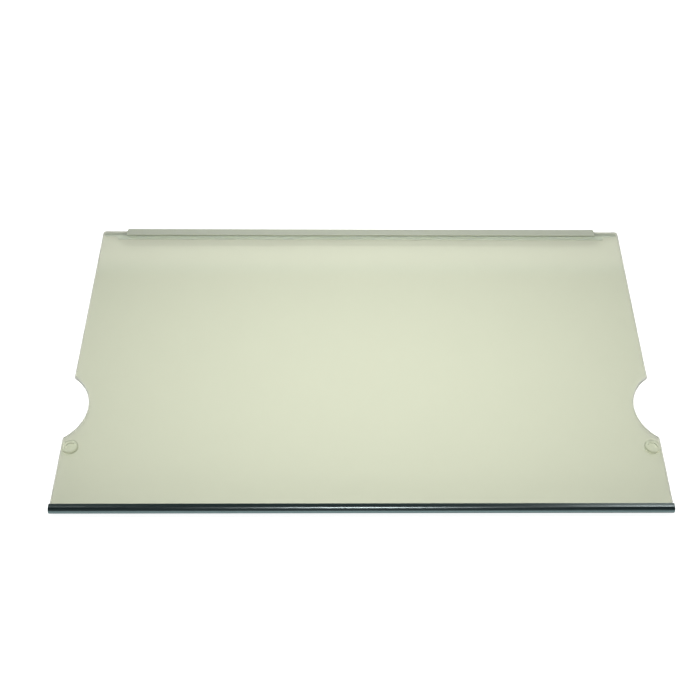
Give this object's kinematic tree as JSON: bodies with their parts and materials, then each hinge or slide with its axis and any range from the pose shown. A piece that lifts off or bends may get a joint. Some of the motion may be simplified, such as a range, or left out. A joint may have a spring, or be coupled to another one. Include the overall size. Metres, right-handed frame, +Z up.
{
  "type": "refrigerator glass shelf",
  "caption": "Flat glass refrigerator shelf with a round recess in each side edge, a dark round-nosed front trim, a pale U-profile rear trim and clear stop buttons.",
  "frame": {"origin": "below the middle of the shelf's outline, on the plane of the stop buttons' free faces", "axes": "+X to the right along the shelf, +Y to the rear, +Z up"},
  "size_m": [0.4752, 0.303, 0.0082],
  "materials": {
    "shelf_glass": "toughened float glass, polished faces, ground edges, pale green tint",
    "front_trim_metal": "polished extrusion, dark anodised with a faint green cast",
    "rear_trim_plastic": "milky translucent extrusion",
    "stop_plastic": "clear soft plastic, glossy"
  },
  "bodies": {
    "root": {"glass_plate": "shelf_glass", "front_trim": "front_trim_metal", "rear_trim": "rear_trim_plastic", "left_stop": "stop_plastic", "right_stop": "stop_plastic"}
  },
  "joints": []
}
